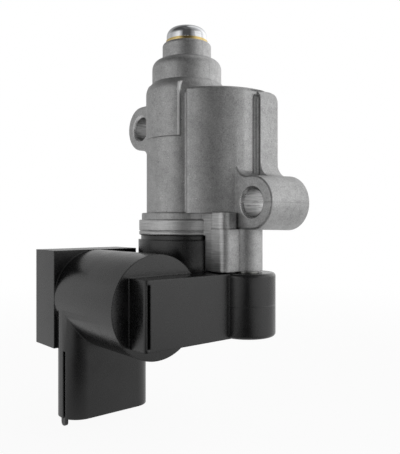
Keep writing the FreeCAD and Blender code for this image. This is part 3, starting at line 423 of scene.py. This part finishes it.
def black_plastic():
    """Satin black moulding with an uneven sheen and a mould line on the screw lobe."""
    material, tree, shader = new_material("glass_filled_black_nylon")
    place = rotor_place(tree)
    x, y, z = add(tree, "ShaderNodeSeparateXYZ", {0: place}).outputs
    cloud = add(tree, "ShaderNodeTexNoise",
                {"Vector": place, "Scale": 1 / SHEEN_CLOUD_MM, "Detail": 5.0, "Roughness": 0.6})
    fibre = add(tree, "ShaderNodeTexNoise",
                {"Vector": place, "Scale": 1 / FIBRE_MM, "Detail": 3.0, "Roughness": 0.65})
    spread = add(tree, "ShaderNodeMapRange",
                 {"Value": cloud.outputs[0], "From Min": SHEEN_RANGE[0],
                  "From Max": SHEEN_RANGE[1]})
    colour = add(tree, "ShaderNodeMix",
                 {0: spread.outputs[0], 6: linear(BLACK_DEEP), 7: linear(BLACK_WORN)},
                 data_type="RGBA")
    both = add(tree, "ShaderNodeMix",
               {0: FIBRE_SHARE, 2: cloud.outputs[0], 3: fibre.outputs[0]}, data_type="FLOAT")
    dull = add(tree, "ShaderNodeMapRange",
               {"Value": both.outputs[0], "From Min": MILD[0], "From Max": MILD[1],
                "To Min": BLACK_ROUGH[0], "To Max": BLACK_ROUGH[1]})
    seam = every(tree, between(tree, z, LOBE_SEAM_Z - SEAM_HALF, LOBE_SEAM_Z + SEAM_HALF),
                 between(tree, x, LOBE_FROM_X, FAR), between(tree, y, LOBE_FROM_Y, FAR))
    surface = bumps(tree, MOULD_EDGE_MM, ((seam, MOULD_SEAM_BUMP),
                                          (fibre.outputs[0], FIBRE_BUMP)))
    tree.links.new(colour.outputs[2], shader.inputs["Base Color"])
    tree.links.new(dull.outputs[0], shader.inputs["Roughness"])
    tree.links.new(surface, shader.inputs["Normal"])
    shader.inputs["IOR"].default_value = BLACK_IOR
    return made(material)


MOULDING = black_plastic()

# %% [markdown]
# ## The other materials
# The other metals differ in colour, in how rough they are and in the lines that the tool left
# round them, and rubber, ferrite and nylon differ in colour, roughness and grain. Each could
# have its own list of nodes, but they would be the same list, so one function makes them all
# from one noise. Its size is given in millimetres, and it is drawn coarser than the real lines
# or grain, so that it shows. For a turned metal the noise is squeezed along the piece's axis,
# so that it runs round the piece.

# %% Turned metals and grained materials
TURNED_SQUEEZE = (LINE_SQUEEZE, LINE_SQUEEZE, 1.0)
TURNED_BUMP = (0.01, 0.3)
EVEN_GRAIN = (1.0, 1.0, 1.0)
GRAINED_BUMP = (0.02, 0.4)


def one_noise(name, shades, rough, squeeze, noise, bump, metallic):
    """Material whose colour, roughness and bumps follow one noise."""
    material, tree, shader = new_material(name)
    dark, light = shades
    place = add(tree, "ShaderNodeTexCoord").outputs["Object"]
    squeezed = add(tree, "ShaderNodeMapping", {"Vector": place, "Scale": squeeze})
    pattern = add(tree, "ShaderNodeTexNoise", {"Vector": squeezed.outputs[0], **noise})
    spread = add(tree, "ShaderNodeMapRange",
                 {"Value": pattern.outputs[0], "From Min": MILD[0], "From Max": MILD[1]})
    colour = add(tree, "ShaderNodeMix", {0: spread.outputs[0], 6: linear(dark), 7: linear(light)},
                 data_type="RGBA")
    dull = add(tree, "ShaderNodeMapRange",
               {"Value": pattern.outputs[0], "From Min": MILD[0], "From Max": MILD[1],
                "To Min": rough[0], "To Max": rough[1]})
    surface = add(tree, "ShaderNodeBump",
                  {"Height": pattern.outputs[0], "Distance": bump[0] * MM, "Strength": bump[1]})
    tree.links.new(colour.outputs[2], shader.inputs["Base Color"])
    tree.links.new(dull.outputs[0], shader.inputs["Roughness"])
    tree.links.new(surface.outputs[0], shader.inputs["Normal"])
    shader.inputs["Metallic"].default_value = metallic
    return made(material)


def turned_metal(name, dark, light, rough, line_mm):
    """Bare metal turned or ground round the upright axis, with tool lines of a real width."""
    return one_noise(name, (dark, light), rough, TURNED_SQUEEZE,
                     {"Scale": per_mm(line_mm), "Detail": 3.0}, TURNED_BUMP, 1.0)


def grained(name, dark, light, rough, grain_mm):
    """Dull material with one even grain, such as rubber, ferrite or natural nylon."""
    return one_noise(name, (dark, light), rough, EVEN_GRAIN,
                     {"Scale": per_mm(grain_mm), "Detail": 4.0, "Roughness": 0.6},
                     GRAINED_BUMP, 0.0)


print("tool lines are", round(1 / LINE_SQUEEZE), "times as long as they are wide")

# %% [markdown]
# ## Which piece has which finish
# The record names a material slot for each CAD piece. The pieces could be dressed one by one,
# but several share a finish, so each finish is made once for its slot and then handed out. A
# row gives the dark and the light shade, the least and most roughness, and the width of the
# lines or grain in millimetres.

# %% Finishes by slot
FINISHES = {
    "cast_aluminium": CASTING,
    "black_plastic": MOULDING,
    "polished_steel": turned_metal("polished_steel", "#c4c6c9", "#d2d3d5", (0.05, 0.09), 0.4),
    "brass": turned_metal("bright_brass", "#b39a5e", "#d6c088", (0.22, 0.32), 0.3),
    "sector_aluminium": turned_metal("turned_aluminium", "#a3a4a5", "#c0c1c2", (0.28, 0.40), 0.35),
    "carrier_aluminium": turned_metal("turned_carrier", "#9b9c9d", "#b5b6b7", (0.30, 0.42), 0.35),
    "ground_steel": turned_metal("ground_steel", "#8d8f91", "#b1b3b5", (0.20, 0.30), 0.25),
    "bearing_steel": turned_metal("bearing_steel", "#a4a6a9", "#c4c6c9", (0.12, 0.20), 0.25),
    "spring_steel": turned_metal("blued_spring_steel", "#55585e", "#74777d", (0.25, 0.35), 0.3),
    "plated_steel": turned_metal("zinc_plated_steel", "#9fa09c", "#c0c1bd", (0.28, 0.38), 0.3),
    "core_sheet": turned_metal("stacked_core_sheet", "#4e4f51", "#7c7d80", (0.40, 0.55), 0.5),
    "tinned_brass": turned_metal("tinned_brass", "#b3b0a4", "#cfccc0", (0.25, 0.35), 0.3),
    "copper_wire": turned_metal("enamelled_copper", "#8f4a26", "#c27442", (0.25, 0.35), 0.3),
    "ferrite": grained("sintered_ferrite", "#232325", "#343437", (0.55, 0.70), 0.4),
    "hub_plastic": grained("natural_nylon", "#c6c0ae", "#d8d3c4", (0.40, 0.50), 0.6),
    "seal_rubber": grained("nitrile_rubber", "#121212", "#1e1e1e", (0.55, 0.70), 0.5),
}

for entry in frame["record"]["subparts"]:
    piece = NODES[entry["node"]]
    piece.data.materials.clear()
    piece.data.materials.append(FINISHES[entry["material_slot"]])
print("finishes:", len(FINISHES))

# %% [markdown]
# ## Edges
# CAD edges are perfectly sharp, and real ones never are: a casting's edges are worn round by
# the blasting, and a moulding's by the tool. A narrow bevel catches the light as they do. It
# stops where faces are too small for it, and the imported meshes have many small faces, which is
# why the two big materials also turn their normals at edges. The meshes are split along every
# edge too, so a weld comes first. A small node tree then shades faces that meet at a low angle
# as one smooth surface.

# %% Soft edges
SMOOTH_BELOW = math.radians(28)
WELD_DISTANCE = 0.0005 * MM
EDGE_ROUND_MM = {"valve_body": 0.22, "motor_housing": 0.20, "end_cap": 0.05,
                 "housing_screw_right": 0.10, "housing_screw_left": 0.10}
EDGE_SEGMENTS = 2


def smooth_by_angle():
    """Node tree that shades smooth across every edge flatter than the limit."""
    group = bpy.data.node_groups.new("smooth_by_angle", "GeometryNodeTree")
    for way in ("INPUT", "OUTPUT"):
        group.interface.new_socket("Geometry", in_out=way, socket_type="NodeSocketGeometry")
    start = add(group, "NodeGroupInput")
    angle = add(group, "GeometryNodeInputMeshEdgeAngle")
    flat = add(group, "FunctionNodeCompare", {0: angle.outputs[0], 1: SMOOTH_BELOW},
               operation="LESS_THAN")
    faces = add(group, "GeometryNodeSetShadeSmooth", {0: start.outputs[0], 2: True}, domain="FACE")
    edges = add(group, "GeometryNodeSetShadeSmooth",
                {0: faces.outputs[0], 2: flat.outputs[0]}, domain="EDGE")
    add(group, "NodeGroupOutput", {0: edges.outputs[0]})
    return group


SMOOTH_GROUP = smooth_by_angle()

for name, piece in NODES.items():
    weld = piece.modifiers.new("joined_seams", "WELD")
    weld.merge_threshold = WELD_DISTANCE
    if name in EDGE_ROUND_MM:
        bevel = piece.modifiers.new("soft_edges", "BEVEL")
        bevel.width = EDGE_ROUND_MM[name] * MM
        bevel.segments = EDGE_SEGMENTS
        bevel.limit_method = "ANGLE"
        bevel.angle_limit = SMOOTH_BELOW
        bevel.use_clamp_overlap = True
    shade = piece.modifiers.new("smooth_by_angle", "NODES")
    shade.node_group = SMOOTH_GROUP
    if name in EDGE_ROUND_MM:
        even = piece.modifiers.new("even_normals", "WEIGHTED_NORMAL")
        even.keep_sharp = True
print("pieces with rounded edges:", len(EDGE_ROUND_MM))

# %% [markdown]
# ## Camera
# The photograph was taken level with the lower part of the casting, from 50 degrees round to
# the right of the flange's normal. The focal length, 570 of the picture's pixels, and the
# distance were found by fitting the measured features. The picture is 400 by 454 pixels, so
# the sensor's long side is its height. The camera's place is counted from the point where the
# rotor axis crosses the joint between the casting and the motor housing. It could be tilted to
# put the horizon on its row, but then uprights would lean, so the lens is shifted a little.

# %% Camera
PICTURE_H = 454
FOCAL_PIXELS = 570.0
HORIZON_ROW = 221.0
SENSOR_MM = 36.0
NEAREST = 0.01
CAMERA_AZIMUTH = math.radians(50)
CAMERA_PLACE = ROTOR_BASE + Vector((120.3, -96.3, 3.65)) * MM

camera = bpy.data.objects.new("camera", bpy.data.cameras.new("camera"))
bpy.context.scene.collection.objects.link(camera)
camera.location = CAMERA_PLACE
camera.rotation_euler = (math.pi / 2, 0, CAMERA_AZIMUTH)
camera.data.sensor_fit = "AUTO"
camera.data.sensor_width = SENSOR_MM
camera.data.lens = FOCAL_PIXELS * SENSOR_MM / PICTURE_H
camera.data.shift_y = (HORIZON_ROW - PICTURE_H / 2) / PICTURE_H
camera.data.clip_start = NEAREST
bpy.context.scene.camera = camera
print("lens in mm:", round(camera.data.lens, 2))

# %% [markdown]
# ## Studio: the room's light
# A metal casting shows its surroundings more than its own colour, so the studio is most of the
# picture. Round parts of the casting tell what the room was like, because each strip of them
# mirrors another direction. It is dark straight behind the camera and bright to both sides, and
# the ceiling is dark but for the upper right. Walls and lamps could be built for that, but each
# would be one more thing to place, so the world paints the room by direction, with one row of
# grey levels for the walls and one for the ceiling.

# %% Room by direction
ROOM_STRENGTH = 1.95
WALLS = ((-180, 0.25), (-150, 0.13), (-120, 0.21), (-95, 0.32), (-70, 0.45), (-45, 0.71),
         (-20, 0.05), (0, 0.05), (20, 0.05), (45, 0.35), (70, 0.46), (95, 0.56),
         (120, 0.76), (150, 0.55), (180, 0.25))
UPPER = ((-180, 0.05), (-120, 0.05), (-60, 0.05), (-20, 0.05), (20, 0.05), (60, 0.25),
         (120, 0.60), (180, 0.05))
UPPER_FROM = 0.25
UPPER_TO = 0.75


def levels(tree, turn, stops):
    """Grey levels by direction in plan, from (degrees round from the camera, level) stops."""
    scale = add(tree, "ShaderNodeValToRGB", {"Fac": turn})
    ramp = scale.color_ramp
    for _ in stops[2:]:
        ramp.elements.new(0.5)
    for element, (degrees, _) in zip(ramp.elements, stops):
        element.position = (degrees + 180) / 360
    for element, (_, level) in zip(ramp.elements, stops):
        element.color = (level, level, level, 1.0)
    return scale.outputs["Color"]


def painted_room(tree, direction, front, right):
    """Light of the room by direction: walls low down, and the ceiling above them."""
    angle = add(tree, "ShaderNodeMath", {0: right, 1: front}, operation="ARCTAN2")
    turn = add(tree, "ShaderNodeMapRange",
               {"Value": angle.outputs[0], "From Min": -math.pi, "From Max": math.pi})
    height = add(tree, "ShaderNodeSeparateXYZ", {0: direction})
    rise = add(tree, "ShaderNodeMapRange",
               {"Value": height.outputs["Z"], "From Min": UPPER_FROM, "From Max": UPPER_TO},
               interpolation_type="SMOOTHSTEP")
    room = add(tree, "ShaderNodeMix",
               {0: rise.outputs[0], 6: levels(tree, turn.outputs[0], WALLS),
                7: levels(tree, turn.outputs[0], UPPER)}, data_type="RGBA")
    lit = add(tree, "ShaderNodeVectorMath", {0: room.outputs[2], 1: (ROOM_STRENGTH,) * 3},
              operation="MULTIPLY")
    return lit.outputs[0]


print("brightest wall level:", max(level for _, level in WALLS) * ROOM_STRENGTH)

# %% [markdown]
# ## Studio: what each ray sees
# The valve stands in front of white, but a white world would light it from behind. So a ray
# from the camera sees plain white, and every other ray sees the painted room. Pieces that
# mirror what is behind them see a share of the white backdrop on top of the room.

# %% World
BACKDROP_SHARE = 0.30
BACKDROP_FULL = -0.5
WHITE = (1, 1, 1, 1)
TOWARDS_CAMERA = (math.sin(CAMERA_AZIMUTH), -math.cos(CAMERA_AZIMUTH), 0.0)
TOWARDS_RIGHT = (math.cos(CAMERA_AZIMUTH), math.sin(CAMERA_AZIMUTH), 0.0)


def studio_world():
    """White to the camera, and a room with bright sides and a darker front for its light."""
    world = bpy.data.worlds.new("studio")
    bpy.context.scene.world = world
    world.use_nodes = True
    tree = world.node_tree
    tree.nodes.clear()
    direction = add(tree, "ShaderNodeTexCoord").outputs["Generated"]
    front = add(tree, "ShaderNodeVectorMath", {0: direction, 1: TOWARDS_CAMERA},
                operation="DOT_PRODUCT").outputs["Value"]
    right = add(tree, "ShaderNodeVectorMath", {0: direction, 1: TOWARDS_RIGHT},
                operation="DOT_PRODUCT").outputs["Value"]
    rays = add(tree, "ShaderNodeLightPath")
    mirrored = either(tree, rays.outputs["Is Glossy Ray"], rays.outputs["Is Transmission Ray"])
    behind = add(tree, "ShaderNodeMapRange",
                 {"Value": front, "From Min": 0.0, "From Max": BACKDROP_FULL,
                  "To Max": BACKDROP_SHARE}, interpolation_type="SMOOTHSTEP")
    backdrop = every(tree, mirrored, behind.outputs[0])
    both = add(tree, "ShaderNodeVectorMath",
               {0: painted_room(tree, direction, front, right), 1: backdrop}, operation="ADD")
    colour = add(tree, "ShaderNodeMix",
                 {0: rays.outputs["Is Camera Ray"], 6: both.outputs[0], 7: WHITE},
                 data_type="RGBA")
    surround = add(tree, "ShaderNodeBackground", {"Color": colour.outputs[2], "Strength": 1.0})
    add(tree, "ShaderNodeOutputWorld", {"Surface": surround.outputs[0]})
    return world


studio = studio_world()
print("world:", studio.name, "with", len(studio.node_tree.nodes), "nodes")

# %% [markdown]
# ## Floor: the paper as metal mirrors it
# The low faces of the casting mirror the paper. Their tones in the photograph are matched by
# paper that is bright at the back and to the sides, brighter on the right, and dark in a strip
# that runs from the valve to the camera. Lamps with shades could light it so, but the levels
# are easier to set by place on the paper, for the rays that come off a shiny surface.

# %% Mirrored paper
MIRROR_STRIP = 0.08
MIRROR_FRONT = 0.80
MIRROR_BACK = 0.72
MIRROR_RIGHT = 1.2
STRIP_HALF = (0.03, 0.12)
BACK_TO_FRONT = (-0.01, 0.09)
LEFT_TO_RIGHT = (-0.02, 0.02)


def mirrored_paper(tree, place):
    """Glow of the paper for rays that come off a shiny or clear surface."""
    ahead = add(tree, "ShaderNodeVectorMath", {0: place, 1: TOWARDS_CAMERA},
                operation="DOT_PRODUCT").outputs["Value"]
    across = add(tree, "ShaderNodeVectorMath", {0: place, 1: TOWARDS_RIGHT},
                 operation="DOT_PRODUCT").outputs["Value"]
    apart = add(tree, "ShaderNodeMath", {0: across}, operation="ABSOLUTE")
    aside = add(tree, "ShaderNodeMapRange",
                {"Value": apart.outputs[0], "From Min": STRIP_HALF[0], "From Max": STRIP_HALF[1],
                 "To Min": MIRROR_STRIP, "To Max": MIRROR_FRONT},
                interpolation_type="SMOOTHSTEP")
    level = add(tree, "ShaderNodeMapRange",
                {"Value": ahead, "From Min": BACK_TO_FRONT[0], "From Max": BACK_TO_FRONT[1],
                 "To Min": MIRROR_BACK, "To Max": aside.outputs[0]},
                interpolation_type="SMOOTHSTEP")
    right = add(tree, "ShaderNodeMapRange",
                {"Value": across, "From Min": LEFT_TO_RIGHT[0], "From Max": LEFT_TO_RIGHT[1],
                 "To Min": 1.0, "To Max": MIRROR_RIGHT}, interpolation_type="SMOOTHSTEP")
    seen = every(tree, level.outputs[0], right.outputs[0])
    return add(tree, "ShaderNodeEmission", {"Strength": seen}).outputs[0]


print("mirrored paper: from", MIRROR_STRIP, "to", round(MIRROR_FRONT * MIRROR_RIGHT, 2))

# %% [markdown]
# ## Floor: white paper
# The floor is white paper. Lit paper under a dark ceiling would come out grey against the white
# backdrop, so the camera sees it with a glow of its own. The glow leaves room for the valve's
# soft shadow close by and reaches plain white further out, where it meets the backdrop without
# an edge. Light that bounces softly off the paper still comes from its real colour. Its fibres
# are drawn 3 mm wide, because real ones are too fine to show.

# %% Paper
PAPER = "#f4f4f4"
PAPER_FIBRE = "#f8f8f8"
PAPER_FIBRE_MM = 3.0
PAPER_ROUGH = 0.9
GLOW_NEAR = 0.94
GLOW_REACH = (0.06, 0.35)


def paper_material():
    """White paper that shows as white to the camera and still takes the shadow."""
    material, tree, shader = new_material("white_paper")
    place = add(tree, "ShaderNodeTexCoord").outputs["Object"]
    fibre = add(tree, "ShaderNodeTexNoise", {"Vector": place, "Scale": per_mm(PAPER_FIBRE_MM)})
    tone = add(tree, "ShaderNodeMix",
               {0: fibre.outputs[0], 6: linear(PAPER), 7: linear(PAPER_FIBRE)}, data_type="RGBA")
    tree.links.new(tone.outputs[2], shader.inputs["Base Color"])
    shader.inputs["Roughness"].default_value = PAPER_ROUGH
    away = add(tree, "ShaderNodeVectorMath", {0: place}, operation="LENGTH")
    share = add(tree, "ShaderNodeMapRange",
                {"Value": away.outputs["Value"], "From Min": GLOW_REACH[0],
                 "From Max": GLOW_REACH[1], "To Min": GLOW_NEAR, "To Max": 1.0},
                interpolation_type="SMOOTHSTEP")
    rays = add(tree, "ShaderNodeLightPath")
    glow = every(tree, share.outputs[0], rays.outputs["Is Camera Ray"])
    white = add(tree, "ShaderNodeEmission", {"Color": WHITE, "Strength": 1.0})
    shown = add(tree, "ShaderNodeMixShader",
                {0: glow, 1: shader.outputs["BSDF"], 2: white.outputs[0]})
    mirrored = either(tree, rays.outputs["Is Glossy Ray"], rays.outputs["Is Transmission Ray"])
    both = add(tree, "ShaderNodeMixShader",
               {0: mirrored, 1: shown.outputs[0], 2: mirrored_paper(tree, place)})
    tree.links.new(both.outputs[0], tree.nodes["Material Output"].inputs["Surface"])
    return made(material)


WHITE_PAPER = paper_material()

# %% [markdown]
# ## Floor: the sheet
# In a studio such a sheet is often curved up behind the object, to hide where it ends. Here a
# flat one that reaches far past the picture is enough, because the world behind it is white.

# %% Sheet of paper
FLOOR_HALF = 2.0
FLOOR_CELLS = 4
FLOOR_GAP = 0.2 * MM


def floor():
    """Large sheet of paper just under the valve."""
    mesh = bpy.data.meshes.new("floor")
    shape = bmesh.new()
    bmesh.ops.create_grid(shape, x_segments=FLOOR_CELLS, y_segments=FLOOR_CELLS, size=FLOOR_HALF)
    shape.to_mesh(mesh)
    shape.free()
    sheet = bpy.data.objects.new("floor", mesh)
    bpy.context.scene.collection.objects.link(sheet)
    sheet.location = (ROTOR_BASE.x, ROTOR_BASE.y, CAD_LOW.z - FLOOR_GAP)
    mesh.materials.append(WHITE_PAPER)
    return sheet


sheet_of_paper = floor()
print("paper at a height of", round(sheet_of_paper.location.z / MM, 2), "mm")

# %% [markdown]
# ## Lamps
# The room gives most of the light, and could give all of it, but a lamp casts a clearer shadow.
# A big soft box on the right lights the faces of the casting that look that way, and a weak one
# overhead fills the top faces. The Standard view keeps white paper white and the plastic black.

# %% Soft boxes
AIM = (CAD_LOW + CAD_HIGH) / 2


def soft_box(name, turn, height, distance, size, power):
    """Area lamp at an angle round the valve from the camera, aimed at its middle."""
    angle = CAMERA_AZIMUTH + math.radians(turn)
    lamp = bpy.data.lights.new(name, "AREA")
    lamp.shape = "RECTANGLE"
    lamp.size, lamp.size_y = size
    lamp.energy = power
    holder = bpy.data.objects.new(name, lamp)
    bpy.context.scene.collection.objects.link(holder)
    holder.location = AIM + Vector((math.sin(angle), -math.cos(angle), 0)) * distance
    holder.location.z = AIM.z + height
    holder.rotation_euler = (AIM - holder.location).to_track_quat("-Z", "Y").to_euler()
    print(name, "at", [round(v, 3) for v in holder.location], "with", power, "W")


soft_box("box_right", turn=70, height=0.12, distance=0.60, size=(0.45, 0.60), power=0.40)
soft_box("box_top", turn=20, height=0.70, distance=0.25, size=(0.50, 0.50), power=0.05)

bpy.context.scene.view_settings.view_transform = "Standard"
